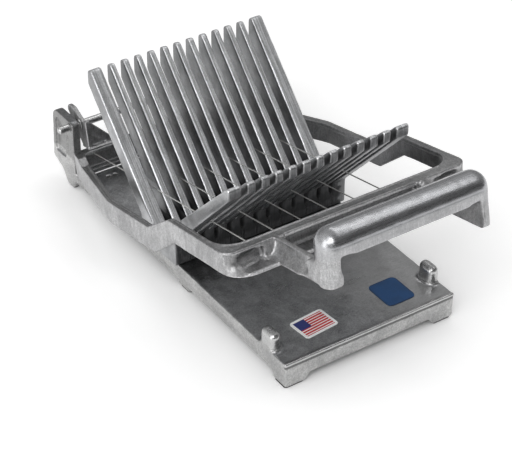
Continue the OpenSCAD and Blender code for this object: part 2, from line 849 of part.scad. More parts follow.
module wire_ferrules() {
    color("goldenrod") on_arm() for (x = wire_places)
        translate([x, -arm_rear + ferrule_length, wire_height]) rotate([90, 0, 0]) difference() {
            cylinder(h = ferrule_length, r = ferrule_radius);
            translate([0, 0, -cut]) cylinder(h = ferrule_length + 2 * cut, r = wire_radius + wire_fit);
        }
}

base_casting();
fin_cradle();
cradle_screws();
cradle_washers();
mirror([1, 0, 0]) front_pad();  // foot_pad_front_left
front_pad();  // foot_pad_front_right
mirror([1, 0, 0]) middle_pad();  // foot_pad_middle_left
middle_pad();  // foot_pad_middle_right
mirror([1, 0, 0]) rear_pad();  // foot_pad_rear_left
rear_pad();  // foot_pad_rear_right
hinge_rod();
mirror([1, 0, 0]) rod_clip();  // rod_clip_left
rod_clip();  // rod_clip_right
striped_label();
plain_label();
arm_frame();
cutting_wire(1);  // cutting_wire_1
cutting_wire(2);  // cutting_wire_2
cutting_wire(3);  // cutting_wire_3
cutting_wire(4);  // cutting_wire_4
cutting_wire(5);  // cutting_wire_5
cutting_wire(6);  // cutting_wire_6
clamp_screws();
clamp_washers();
wire_ferrules();
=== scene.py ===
import math

import bpy
import numpy as np
from mathutils import Matrix, Vector


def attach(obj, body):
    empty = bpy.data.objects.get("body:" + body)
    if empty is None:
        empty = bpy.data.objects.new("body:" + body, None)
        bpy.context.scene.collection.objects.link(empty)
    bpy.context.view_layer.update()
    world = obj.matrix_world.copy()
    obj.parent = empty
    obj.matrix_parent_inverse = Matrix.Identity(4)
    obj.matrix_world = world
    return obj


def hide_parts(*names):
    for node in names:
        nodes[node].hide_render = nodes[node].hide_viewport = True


MM = 0.001

# Places in the CAD model. Those of the arm are measured from the rod, with the arm level
ROD = Vector((0.0, 127.336, 47.6)) * MM
ARM_LIFT = math.radians(12)
HANDLE_AXIS_UP = 7.5 * MM
RIM_TOPS = (-18.2, -15.2, -4.2)  # mm: side rims, rear rim and front rim
RIM_SLACK = 0.8 * MM
FRONT_RIM_END = 232 * MM
FIN_PITCH = 9.525 * MM
FIN_HALF = 6
V_BOTTOM = Vector((0.0, 16.036, 29.4)) * MM
FOOT_HALF = 19.9 * MM
LAST_FIN_EDGE = 63.5 * MM
FIN_FRONT = -63.6 * MM
PLATE_TOP = 17.8 * MM
FRONT_EDGE = -117.464 * MM
REAR_EDGE = FRONT_EDGE + 228 * MM
UPRIGHT_FRONT = REAR_EDGE - 20 * MM
BASE_HALF = 61 * MM
REST = Vector((57.1, -97.264)) * MM
REST_HALF = 2.8 * MM
REST_RADIUS = 3.9 * MM

# Forms that the scene adds to the castings
REST_FILLET = 2.6 * MM
GROOVE_DEPTH = 0.45 * MM
BEAD_HEIGHT = 0.5 * MM
BASE_WAVES, FIN_WAVES, ARM_WAVES = 0.12, 0.14, 0.1  # mm
WAVES = ((17, 0.3, 0.4), (11, 1.7, 2.2), (7.3, 2.9, 4.1), (5.1, 4.4, 1.3))  # mm, lean, phase
FIN_DRAW = 0.2
FIN_WIDER_LOW, FIN_WIDER_BY_WALL, FIN_WIDER_TIP = 0.12, 0.4, 0.36
# Stretches of the arm that are rounded off more than the rest: ends ahead of the rod, above it and
# away from the middle, as band() takes them, and the rounds of smoothing
SOFT_STRETCHES = (
    (((230, 228), (217, 219)), ((-16, -15.4), (-6.8, -8.4)), (), 30),  # front channel
    (((233, 231), (200, 206)), ((-17, -16), (-6, -7.6)), ((64, 68),), 240),  # its two ends
    (((274, 270), (252, 257)), ((-5, -8),), ((49, 51),), 70),  # handle's risers
    (((262, 266),), ((5, 2.5), (-9, -6)), ((38, 43),), 60),  # corners inside the handle
)

# Labels: middle and size of each in millimetres, the printed border, the stripes and the colours
STRIPED_MIDDLE = Vector((-25.3, -95.064)) * MM
STRIPED_TURN = math.radians(5)
STRIPED_SIZE = Vector((24, 17.5))
STRIPED_BORDER = 1.7
STRIPE_HEIGHT = 1.01
CANTON = Vector((8, 8))
BORDER_WHITE = (0.95, 0.95, 0.945)
STRIPE_WHITE = (0.92, 0.92, 0.91)
STRIPE_RED = (0.55, 0.012, 0.02)
CANTON_BLUE = (0.025, 0.035, 0.17)
PLAIN_MIDDLE = Vector((31, -95.464)) * MM
PLAIN_SIZE = Vector((20, 23))
PLAIN_BORDER = 0.8
PLAIN_BLUE = (0.006, 0.065, 0.2)
PLAIN_BORDER_BLUE = (0.012, 0.05, 0.14)

# Cast metal: size in millimetres, detail and roughness of each noise
BLOTCH = (16, 3, 0.6)
PATCH = (3.2, 4, 0.7)
GRAIN = (0.9, 3, 0.75)
FINE = (0.4, 1, 0.5)
STREAK = (0.95, 3, 0.7)
HAIRLINE = (0.7, 3, 0.7)
HAIRLINE_SCALE = (0.04, 1, 1)
PIT_SIZE = 2.1  # mm
# Spans that noises and mesh attributes are read over, and the strength of what they bring
TONE_SPAN = (0.38, 0.62)
UP_SPAN = (0.55, 0.9)
EDGE_SPAN = (0.3, 0.8)
UP_SHINE, WORN_SHINE = 0.5, 0.75
PIT_TONE = 0.72
WEAR_AND_GLINT_GREY = 0.9
HOLLOW_SHADE = 0.7
FRONT_SHADE = 0.72
SHADE_TONE = 0.12
POLISH_ROUGH = (0.23, 0.32)
SHADE_ROUGH = 0.85
BUMP_DISTANCE, BUMP_STRENGTH = 0.2, 0.8

# Strength of the marks: the painted shade of the cradle, the arm and the base, the polish of the
# handle and the rests, and the painted sheen on the plate
FIN_SIDE, FIN_SIDE_LOW, FIN_SIDE_HIGH = 0.57, 0.33, 0.2
FIN_END, FIN_DEEP, FIN_UNDER, FOOT_WALL, SLOT_BOTTOM = 0.42, 0.86, 0.6, 0.8, 0.95
CHANNEL_SHADE, INNER_SHADE, RIM_SHADE, RIM_SHADE_REAR = 0.35, 0.45, 0.05, 0.4
GRIP_FLAT_POLISH, REST_POLISH, PLATE_SHEEN = 0.35, 0.85, 0.5
BEAD_LINE_SHADE, UPRIGHT_SHADE = 0.75, 0.4

# Camera, from the calibration of the base, the fins and the arm
CAMERA_AZIMUTH, CAMERA_ELEVATION, CAMERA_ROLL = (math.radians(a) for a in (33.93, 35.67, 0.26))
CAMERA_PLACE = Vector((-523.193, -774.443, 690.715)) * MM
CAMERA_LENS, SENSOR_WIDTH = 130.08, 36.0

# Floor and light. The glow is what the floor adds for rays that see it, less where the object
# covers the sky within the reach, which paints a soft shadow round it; the world has a strength in
# each direction
FLOOR_SIZE = 6.0
FLOOR_COLOUR = (0.8, 0.8, 0.8)
FLOOR_GLOW = 0.54
SHADOW_REACH, SHADOW_POWER = 0.14, 1.15
WORLD_FRONT, WORLD_BACK = 0.14, 0.42
WORLD_TOP = 1.5
WORLD_LEFT = 0.6
# Name, place, width and height in metres, and power of each lamp
LAMPS = (("top_box", (0.52, 0.12, 1.12), (1.6, 0.1), 1.7),
         ("left_box", (-1.25, -0.3, 0.36), (0.6, 1.2), 4.2),
         ("front_box", (-0.8, -0.8, 1.1), (0.7, 0.7), 6.8))

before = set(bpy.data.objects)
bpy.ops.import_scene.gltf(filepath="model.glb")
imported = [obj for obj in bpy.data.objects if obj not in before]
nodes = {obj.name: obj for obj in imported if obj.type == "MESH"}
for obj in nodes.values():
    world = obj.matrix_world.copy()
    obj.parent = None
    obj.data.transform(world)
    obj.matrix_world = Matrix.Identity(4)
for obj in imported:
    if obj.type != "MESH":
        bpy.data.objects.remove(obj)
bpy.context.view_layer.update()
scene = bpy.context.scene


# Camera
def add_camera():
    """The photograph's view."""
    level_part = math.cos(CAMERA_ELEVATION)
    ahead = Vector((math.sin(CAMERA_AZIMUTH) * level_part, math.cos(CAMERA_AZIMUTH) * level_part,
                    -math.sin(CAMERA_ELEVATION)))
    right = ahead.cross(Vector((0, 0, 1))).normalized()
    up = right.cross(ahead)
    right, up = (right * math.cos(CAMERA_ROLL) + up * math.sin(CAMERA_ROLL),
                 -right * math.sin(CAMERA_ROLL) + up * math.cos(CAMERA_ROLL))
    data = bpy.data.cameras.new("photo_camera")
    data.lens, data.sensor_width, data.sensor_fit = CAMERA_LENS, SENSOR_WIDTH, "HORIZONTAL"
    data.clip_end = 20
    camera = bpy.data.objects.new("photo_camera", data)
    scene.collection.objects.link(camera)
    matrix = Matrix((right, up, -ahead)).transposed().to_4x4()
    matrix.translation = CAMERA_PLACE
    camera.matrix_world = matrix
    scene.camera = camera


# Material helpers
class Nodes:
    """Short calls for building the node tree of a material or a world."""

    def __init__(self, owner, output):
        owner.use_nodes = True
        self.owner = owner
        self.tree = owner.node_tree
        self.tree.nodes.clear()
        self.output = self.add(output)

    def add(self, kind, **values):
        node = self.tree.nodes.new(kind)
        for key, value in values.items():
            setattr(node, key, value)
        return node

    def put(self, socket, value):
        """Links a socket to this one, or sets this one's own number or colour."""
        if isinstance(value, bpy.types.NodeSocket):
            self.tree.links.new(value, socket)
        elif socket.type == "RGBA":
            socket.default_value = (*value, 1)
        else:
            socket.default_value = value

    def surface(self, shader):
        self.tree.links.new(shader.outputs[0], self.output.inputs["Surface"])

    def position(self):
        return self.add("ShaderNodeTexCoord").outputs["Object"]

    def split(self, vector):
        node = self.add("ShaderNodeSeparateXYZ")
        self.put(node.inputs[0], vector)
        return node.outputs

    def stretch(self, scale):
        """The position with each axis scaled, for noise that runs along one of them."""
        node = self.add("ShaderNodeMapping")
        self.put(node.inputs["Vector"], self.position())
        node.inputs["Scale"].default_value = scale
        return node.outputs["Vector"]

    def noise(self, size_mm, detail, rough, vector=None):
        node = self.add("ShaderNodeTexNoise")
        self.put(node.inputs["Vector"], vector or self.position())
        node.inputs["Scale"].default_value = 1 / (size_mm * MM)
        node.inputs["Detail"].default_value = detail
        node.inputs["Roughness"].default_value = rough
        return node.outputs["Fac"]

    def cells(self, size_mm):
        node = self.add("ShaderNodeTexVoronoi")
        self.put(node.inputs["Vector"], self.position())
        node.inputs["Scale"].default_value = 1 / (size_mm * MM)
        return node.outputs["Distance"]

    def maths(self, operation, a, b, clamp=False):
        node = self.add("ShaderNodeMath", operation=operation, use_clamp=clamp)
        self.put(node.inputs[0], a)
        self.put(node.inputs[1], b)
        return node.outputs["Value"]

    def times(self, value, *factors):
        for factor in factors:
            value = self.maths("MULTIPLY", value, factor)
        return value

    def total(self, *parts):
        """The sum of values, each times its weight."""
        value = self.times(*parts[0])
        for part in parts[1:]:
            value = self.maths("ADD", value, self.times(*part))
        return value

    def most(self, value, *others):
        for other in others:
            value = self.maths("MAXIMUM", value, other)
        return value

    def remap(self, value, low, high, to_low=0.0, to_high=1.0, smooth=True):
        node = self.add("ShaderNodeMapRange")
        node.interpolation_type = "SMOOTHSTEP" if smooth else "LINEAR"
        for key, v in (("Value", value), ("From Min", low), ("From Max", high),
                       ("To Min", to_low), ("To Max", to_high)):
            self.put(node.inputs[key], v)
        return node.outputs["Result"]

    def mix(self, factor, a, b):
        """A colour between two."""
        node = self.add("ShaderNodeMix", data_type="RGBA")
        self.put(node.inputs["Factor"], factor)
        self.put(node.inputs[6], a)
        self.put(node.inputs[7], b)
        return node.outputs[2]

    def mix_value(self, factor, a, b):
        """A number between two."""
        node = self.add("ShaderNodeMix", data_type="FLOAT")
        self.put(node.inputs["Factor"], factor)
        self.put(node.inputs[2], a)
        self.put(node.inputs[3], b)
        return node.outputs[0]

    def scale(self, colour, factor):
        """The colour times a value."""
        node = self.add("ShaderNodeVectorMath", operation="SCALE")
        self.put(node.inputs[0], colour)
        self.put(node.inputs["Scale"], factor)
        return node.outputs["Vector"]

    def front_face(self, limit, strength):
        """The strength on faces that look to the front and lie in front of the limit."""
        texture = self.add("ShaderNodeTexCoord")
        facing = self.split(texture.outputs["Normal"])
        place = self.split(texture.outputs["Object"])
        ahead = self.remap(facing["Y"], -0.7, -0.92)
        return self.times(ahead, self.remap(place["Y"], limit, limit - 0.2 * MM, 0, strength))

    def attribute(self, name):
        return self.add("ShaderNodeAttribute", attribute_name=name).outputs["Fac"]

    def bump(self, height, distance_mm, strength):
        node = self.add("ShaderNodeBump")
        node.inputs["Strength"].default_value = strength
        node.inputs["Distance"].default_value = distance_mm * MM
        self.put(node.inputs["Height"], height)
        return node.outputs["Normal"]

    def principled(self, **values):
        """The finished material, with a value or socket for each of the shader's inputs."""
        node = self.add("ShaderNodeBsdfPrincipled")
        for key, value in values.items():
            self.put(node.inputs[key.replace("_", " ")], value)
        self.surface(node)
        return self.owner


def material_nodes(name):
    return Nodes(bpy.data.materials.new(name), "ShaderNodeOutputMaterial")


def scaled(colour, factor):
    return tuple(factor * part for part in colour)


def cast_metal(name, dark, light, rough, polish_and_sheen_colour, speckle, up_dark=None, up_rough=None,
               streaks=None, streak_depth=None, wear_and_glint_share=0.85, blotches=1.0, painted_shade_front=None):
    """Cast aluminium: blotches, sand grain, pits, tool streaks, edges lightened by rubbing and by
    a painted highlight, and painted shade in corners.

    up_dark and up_rough are the tone and roughness of the faces that look up, whose darker tone is
    painted shade; streaks is the stretch of the tool marks, and faces that look to the front are
    painted darker, as shade, ahead of a given limit. The mesh's own attributes say where the metal
    has a bright finish and where it has a painted sheen, how far it stands out or lies in, and
    where painted shade falls between its neighbours."""
    n = material_nodes(name)
    blotch, patch, grain, fine = (n.noise(*noise) for noise in (BLOTCH, PATCH, GRAIN, FINE))
    hairlines = n.noise(*HAIRLINE, n.stretch(HAIRLINE_SCALE))
    pits = n.remap(n.cells(PIT_SIZE), 0.0, 0.22)
    polish_and_sheen, marked_shade = n.attribute("polish_and_sheen"), n.attribute("shade")

    tone = n.remap(n.total((blotch, 0.55), (patch, 0.45)), *TONE_SPAN)
    middle = tuple((a + b) / 2 for a, b in zip(dark, light))
    colour = n.mix(blotches, middle, n.mix(tone, dark, light))
    # Faces that look up get a darker tone: painted shade
    if up_dark:
        looks_up = n.remap(n.attribute("up"), *UP_SPAN)
        colour = n.mix(looks_up, colour, n.mix(tone, scaled(up_dark, 0.72), up_dark))
    colour = n.scale(colour, n.remap(grain, 0.32, 0.68, 1 - speckle, 1 + speckle))
    colour = n.scale(colour, n.remap(pits, 0, 1, PIT_TONE, 1, smooth=False))
    height = n.total((grain, 0.55), (patch, 0.8), (pits, 0.25), (fine, 0.2))
    if streaks:
        lines = n.noise(*STREAK, n.stretch(streaks))
        light_line = 1 + 0.6 * streak_depth
        colour = n.scale(colour, n.remap(lines, 0.34, 0.66, 1 - streak_depth, light_line))
        height = n.maths("ADD", height, n.times(lines, 1.6 * streak_depth))
    # The polish colour, which on the base's plate is a painted sheen and on its bead also a
    # painted highlight
    polish_and_sheen_tone = n.mix(n.remap(hairlines, 0.36, 0.64), scaled(polish_and_sheen_colour, 0.86), polish_and_sheen_colour)
    colour = n.mix(polish_and_sheen, colour, polish_and_sheen_tone)

    # Edges lightened by rubbing and by a painted highlight, but not in the painted shade or on the
    # polished handle
    uneven = n.times(n.maths("SUBTRACT", patch, 0.5), 0.4)
    wear_and_glint = n.remap(n.maths("ADD", n.attribute("edge"), uneven), *EDGE_SPAN)
    wear_and_glint = n.times(wear_and_glint, n.remap(marked_shade, 0.55, 0.8, 1, 0), n.remap(polish_and_sheen, 0.6, 0.9, 1, 0))
    colour = n.mix(n.times(wear_and_glint, WEAR_AND_GLINT_GREY), colour, (wear_and_glint_share, wear_and_glint_share, wear_and_glint_share))

    # Painted shade in corners and where the marks put it
    hollow = n.times(n.remap(n.attribute("hollow"), 0.15, 0.8), HOLLOW_SHADE)
    shade = n.most(hollow, marked_shade)
    # Faces that look to the front, ahead of the limit, get painted shade
    if painted_shade_front is not None:
        shade = n.most(shade, n.front_face(painted_shade_front, FRONT_SHADE))
    colour = n.mix(shade, colour, scaled(dark, SHADE_TONE))

    shine = n.most(n.times(wear_and_glint, WORN_SHINE), polish_and_sheen)
    dull = n.remap(patch, 0.3, 0.7, *rough)
    if up_dark:
        shine = n.most(shine, n.times(looks_up, UP_SHINE))
        dull = n.mix_value(looks_up, dull, n.remap(blotch, 0.35, 0.65, *up_rough))
    roughness = n.mix_value(shine, dull, n.remap(hairlines, 0.3, 0.7, *POLISH_ROUGH))
    roughness = n.mix_value(n.remap(shade, 0.83, 0.86), roughness, SHADE_ROUGH)
    depth = n.mix_value(shine, height, n.times(hairlines, 0.03))
    return n.principled(Base_Color=colour, Metallic=1.0, Roughness=roughness,
                        Normal=n.bump(depth, BUMP_DISTANCE, BUMP_STRENGTH))


def bright_steel(name, colour, rough, along, line_mm=0.25, dirt=0.5):
    """Drawn or turned steel with fine lines and small marks."""
    n = material_nodes(name)
    lines = n.noise(line_mm, 3, 0.6, n.stretch(along))
    marks = n.noise(3.5, 3, 0.6)
    tone = n.mix(n.remap(lines, 0.35, 0.65), colour, scaled(colour, 0.8))
    tone = n.mix(n.remap(marks, 0.55, 0.75, 0, dirt), tone, scaled(colour, 0.5))
    return n.principled(Base_Color=tone, Metallic=1.0,
                        Roughness=n.remap(marks, 0.3, 0.7, rough, rough + 0.12),
                        Normal=n.bump(lines, 0.02, 0.4))


def rubber():
    """Black rubber with a fine grain and some dust."""
    n = material_nodes("pad_rubber")
    grain = n.noise(0.5, 3, 0.6)
    dust = n.noise(5, 3, 0.6)
    colour = n.mix(n.remap(dust, 0.4, 0.7), (0.025, 0.025, 0.025), (0.07, 0.07, 0.068))
    return n.principled(Base_Color=colour, Roughness=n.remap(grain, 0.3, 0.7, 0.75, 0.92),
                        Normal=n.bump(grain, 0.08, 0.8))


class LabelFrame:
    """Distances across and along a label, in millimetres from its middle."""

    def __init__(self, n, middle, turn):
        mapping = n.add("ShaderNodeMapping", vector_type="POINT")
        n.put(mapping.inputs["Vector"], n.position())
        turned = Matrix.Rotation(-turn, 3, "Z") @ (-Vector((*middle, 0)) / MM)
        mapping.inputs["Scale"].default_value = (1 / MM, 1 / MM, 1 / MM)
        mapping.inputs["Rotation"].default_value = (0, 0, -turn)
        mapping.inputs["Location"].default_value = turned
        place = n.split(mapping.outputs["Vector"])
        self.n, self.x, self.y = n, place["X"], place["Y"]

    def inside(self, left, right, low, high, blur=0.12):
        """1 inside a rectangle of the label, 0 outside it, with a printed edge."""
        return self.n.times(self.n.remap(self.x, left - blur, left + blur),
                            self.n.remap(self.x, right - blur, right + blur, 1, 0),
                            self.n.remap(self.y, low - blur, low + blur),
                            self.n.remap(self.y, high - blur, high + blur, 1, 0))


def printed(n, colour, rough):
    """Printed vinyl: a little yellowed and scuffed, with a soft gloss and an uneven surface."""
    scuff = n.noise(1.2, 4, 0.7)
    tint = n.noise(7, 2, 0.5)
    colour = n.scale(colour, n.remap(tint, 0.3, 0.7, 0.9, 1.05))
    colour = n.mix(n.remap(scuff, 0.62, 0.8, 0, 0.14), colour, (0.5, 0.5, 0.5))
    return n.principled(Base_Color=colour, Roughness=n.remap(scuff, 0.3, 0.7, rough, rough + 0.2),
                        Normal=n.bump(n.noise(2.5, 2, 0.5), 0.05, 0.4))


def striped_vinyl():
    """Red and white stripes with a plain blue corner, in a white border."""
    n = material_nodes("label_white")
    at = LabelFrame(n, STRIPED_MIDDLE, STRIPED_TURN)
    half = STRIPED_SIZE / 2 - Vector((STRIPED_BORDER, STRIPED_BORDER))
    stripes = n.maths("PINGPONG", n.maths("ADD", at.y, half.y), STRIPE_HEIGHT)
    red = n.remap(stripes, 0.6 * STRIPE_HEIGHT, 0.7 * STRIPE_HEIGHT, 1, 0)
    colour = n.mix(red, STRIPE_WHITE, STRIPE_RED)
    canton = at.inside(-half.x, -half.x + CANTON.x, half.y - CANTON.y, half.y)
    colour = n.mix(canton, colour, CANTON_BLUE)
    field = at.inside(-half.x, half.x, -half.y, half.y)
    return printed(n, n.mix(field, BORDER_WHITE, colour), 0.32)


def plain_vinyl():
    """A bare blue label with a darker border."""
    n = material_nodes("label_blue")
    at = LabelFrame(n, PLAIN_MIDDLE, 0)
    half = PLAIN_SIZE / 2 - Vector((PLAIN_BORDER, PLAIN_BORDER))
    field = at.inside(-half.x, half.x, -half.y, half.y, 0.3)
    return printed(n, n.mix(field, PLAIN_BORDER_BLUE, PLAIN_BLUE), 0.3)


# Meshes
def new_piece(name, mesh, body, material, replaced):
    """A piece of the object in its final place, instead of a CAD node."""
    piece = bpy.data.objects.new(name, mesh)
    scene.collection.objects.link(piece)
    mesh.materials.clear()
    mesh.materials.append(material)
    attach(piece, body)
    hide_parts(replaced)


def positions(mesh):
    co = np.empty(len(mesh.vertices) * 3)
    mesh.vertices.foreach_get("co", co)
    return co.reshape(-1, 3)


def set_positions(mesh, co):
    mesh.vertices.foreach_set("co", np.ascontiguousarray(co, dtype=np.float32).ravel())
    mesh.update()


def normals_of(mesh):
    normals = np.empty(len(mesh.vertices) * 3, dtype=np.float32)
    mesh.vertices.foreach_get("normal", normals)
    return normals.reshape(-1, 3)


def edge_array(mesh):
    ends = np.empty(len(mesh.edges) * 2, dtype=np.int64)
    mesh.edges.foreach_get("vertices", ends)
    return ends.reshape(-1, 2)


def mark(mesh, name, values):
    """Keeps a value between 0 and 1 for each vertex, for the materials."""
    layer = mesh.attributes.new(name, "FLOAT", "POINT")
    layer.data.foreach_set("value", np.clip(values, 0, 1).astype(np.float32))


def neighbour_counts(ends, size):
    return np.maximum(np.bincount(ends.ravel(), minlength=size), 1)


def neighbour_mean(values, ends, count):
    """Mean of each vertex's neighbours."""
    first, last = ends.T
    columns = values.reshape(len(values), -1).T
    total = [np.bincount(first, weights=column[last], minlength=len(column))
             + np.bincount(last, weights=column[first], minlength=len(column))
             for column in columns]
    return (np.array(total) / count).T.reshape(values.shape)


def smooth(mesh, rounds):
    """Rounds the cast edges off."""
    co, ends = positions(mesh), edge_array(mesh)
    count = neighbour_counts(ends, len(co))
    for _ in range(rounds):
        co += 0.5 * (neighbour_mean(co, ends, count) - co)
    set_positions(mesh, co)


def soften(mesh, weight, rounds):
    """Rounds a stretch off more than the rest: smooths only where the weight is above 0."""
    co, ends = positions(mesh), edge_array(mesh)
    busy = weight > 0.01
    used, local = np.unique(ends[busy[ends[:, 0]] | busy[ends[:, 1]]], return_inverse=True)
    local = local.reshape(-1, 2)
    count = neighbour_counts(local, len(used))
    part, pull = co[used], 0.6 * weight[used][:, None]
    for _ in range(rounds):
        part += pull * (neighbour_mean(part, local, count) - part)
    co[used] = part
    set_positions(mesh, co)


def bend_of(mesh):
    """How far each vertex stands out (above 0) or lies in (below 0), in edge lengths."""
    co, ends = positions(mesh), edge_array(mesh)
    step = np.linalg.norm(co[ends[:, 0]] - co[ends[:, 1]], axis=1).mean()
    mean = neighbour_mean(co, ends, neighbour_counts(ends, len(co)))
    return ((co - mean) * normals_of(mesh)).sum(1) / step


def spread(mesh, values, rounds):
    """The values blurred over the mesh."""
    ends = edge_array(mesh)
    count = neighbour_counts(ends, len(values))
    for _ in range(rounds):
        values = 0.4 * values + 0.6 * neighbour_mean(values, ends, count)
    return values


def mark_edges(mesh, reach):
    """Keeps how far each vertex stands out or lies in, for edges lightened by rubbing and by a
    painted highlight, and for painted shade in corners.
    """
    bend = spread(mesh, bend_of(mesh), 2) / reach
    mark(mesh, "edge", bend)
    mark(mesh, "hollow", -bend)


def wobble(mesh, depth_mm):
    """A casting's faces are never flat: sinks every point by up to the depth, in slow waves."""
    co = positions(mesh)
    waves = np.zeros(len(co))
    for k, (length, lean, phase) in enumerate(WAVES):
        along = np.array([math.cos(lean), math.sin(lean), math.cos(2 * lean + k)])
        across = np.array([-math.sin(lean), math.cos(lean), math.sin(3 * lean)])
        first = np.sin(2 * math.pi * co @ (along / (length * MM)) + phase)
        waves += first * np.cos(2 * math.pi * co @ (across / (1.4 * length * MM)) + 2 * phase)
    sink = depth_mm * MM * (0.5 + 0.5 * np.clip(waves / 2.2, -1, 1))
    set_positions(mesh, co - normals_of(mesh) * sink[:, None])


def ramp(value, low, high):
    """0 at low, 1 at high, and smooth between them."""
    t = np.clip((value - low) / (high - low), 0, 1)
    return t * t * (3 - 2 * t)


def band(value, *ends):
    """1 within a stretch. Each of its ends is a ramp, from 0 to 1 between two millimetres."""
    weight = 1
    for low, high in ends:
        weight = weight * ramp(value, low * MM, high * MM)
    return weight


def baked(work):
    """The mesh of an object with its modifiers applied; the modifiers go."""
    bpy.context.view_layer.update()
    evaluated = work.evaluated_get(bpy.context.evaluated_depsgraph_get())
    done = bpy.data.meshes.new_from_object(evaluated)
    work.modifiers.clear()
    return done


def remeshed(source, voxel_mm, rounds, keep, shape, marks, reach, to_level=None):
    """A rounded copy of a CAD node: remeshed at the voxel's size, smoothed, then thinned out.

    shape changes the mesh before it is thinned out to the share keep, marks gives the attributes
    of the finished one, and reach is the bend at which an edge counts as sharp."""
    mesh = source.data.copy()
    work = bpy.data.objects.new("work", mesh)
    scene.collection.objects.link(work)
    if to_level:
        mesh.transform(to_level)
    modifier = work.modifiers.new("remesh", "REMESH")
    modifier.mode = "VOXEL"
    modifier.voxel_size = voxel_mm * MM
    done = baked(work)
    smooth(done, rounds)
    shape(done)
    work.data = done
    modifier = work.modifiers.new("thin", "DECIMATE")
    modifier.ratio = keep
    done = baked(work)
    smooth(done, 1)
    bpy.data.objects.remove(work)
    mark_edges(done, reach)
    mark(done, "up", normals_of(done)[:, 2])
    for name, values in marks(positions(done), normals_of(done)).items():
        mark(done, name, values)
    if to_level:
        done.transform(to_level.inverted())
    done.shade_smooth()
    return done


# Base
def fillet_rests(mesh):
    """Blends the plate's top up into the foot of each rest."""
    co = positions(mesh)
    x, y, z = co.T
    dy = np.maximum(np.abs(y - REST.y) - REST_HALF, 0)
    away = np.hypot(np.abs(x) - REST.x, dy) - REST_RADIUS
    gap = REST_FILLET - np.clip(away, 0, REST_FILLET)
    lift = REST_FILLET - np.sqrt(np.maximum(REST_FILLET ** 2 - gap ** 2, 0))
    lift = np.where((away > 0) & (away < REST_FILLET), lift, 0)
    lift *= band(BASE_HALF - np.abs(x), (0.2, 1.6))
    top = (z > PLATE_TOP - 0.5 * MM) & (z < PLATE_TOP + 0.6 * MM)
    co[:, 2] += np.where(top, lift, 0)
    set_positions(mesh, co)


def shape_base(mesh):
    fillet_rests(mesh)
    wobble(mesh, BASE_WAVES)


def base_marks(co, normals):
    """The rests have a bright finish, and so has the bead along the front edge, whose lighter
    colour is also a painted highlight; a painted sheen lightens a part of the plate in place of a
    reflection. Painted shade darkens the uprights and the line under the beads of the front and
    rear edges."""
    x, y, z = co.T
    above = z - PLATE_TOP
    on_rest = band(above, (1.5, 4)) * (y < 0)
    # The bead is polished, and its lighter colour is also a painted highlight
    bead = (above > -1.1 * MM) * band(np.abs(y - FRONT_EDGE), (2.2, 1.4))
    on_plate = (normals[:, 2] > 0.9) * (above < MM)
    # Painted sheen: a right-hand part of the plate is lightened in place of a reflection
    painted_sheen = band(x + 0.5 * y, (-60, -10)) * band(y, (-20, -60)) * on_plate
    from_end = np.minimum(np.abs(y - FRONT_EDGE), np.abs(y - REAR_EDGE))
    # Painted shade on the line under the beads and on the uprights
    line = band(above, (-3.4, -3), (-1.2, -1.6)) * (from_end < 1.3 * MM)
    upright = (above > 6 * MM) * (y > UPRIGHT_FRONT)
    return {"polish_and_sheen": np.maximum.reduce((REST_POLISH * on_rest, bead, PLATE_SHEEN * painted_sheen)),
            "shade": np.maximum(BEAD_LINE_SHADE * line, UPRIGHT_SHADE * upright)}


# Cradle
def shape_cradle(mesh):
    """Draws the fins in towards their tips and widens them low down, beside the foot's front wall
    and at the front tips. The outer sides of the first and last fins stay."""
    co = positions(mesh)
    x, y, z = co.T
    behind = y - V_BOTTOM.y
    reach = np.hypot(behind, np.maximum(z - V_BOTTOM.z, 0))
    number = np.clip(np.round(x / FIN_PITCH), -FIN_HALF, FIN_HALF)
    side = x - number * FIN_PITCH
    outer = (np.abs(number) == FIN_HALF) & (side * number > 0)
    by_wall = band(np.abs(behind) - FOOT_HALF, (-8, -5), (6, 3)) * band(z, (41, 39)) * (behind < 0)
    widen = np.maximum.reduce((FIN_WIDER_LOW * band(z, (48, 34)), FIN_WIDER_BY_WALL * by_wall,
                               FIN_WIDER_TIP * band(-behind, (60, 70))))
    width = 1 - FIN_DRAW * np.clip((reach - 12 * MM) / (100 * MM), 0, 1) + widen
    co[:, 0] = np.where(outer, x, number * FIN_PITCH + side * width)
    set_positions(mesh, co)
    score_last_fin(mesh)
    wobble(mesh, FIN_WAVES)


def score_last_fin(mesh):
    """A shallow groove runs along the outer edge of the last fin's rear face."""
    co, normals = positions(mesh), normals_of(mesh)
    groove = band(LAST_FIN_EDGE - co[:, 0], (0.9, 1.3), (2.3, 1.9))
    groove *= (co[:, 1] > V_BOTTOM.y) * ramp(normals[:, 2] - normals[:, 1], 1.0, 1.3)
    set_positions(mesh, co - normals * (GROOVE_DEPTH * groove)[:, None])


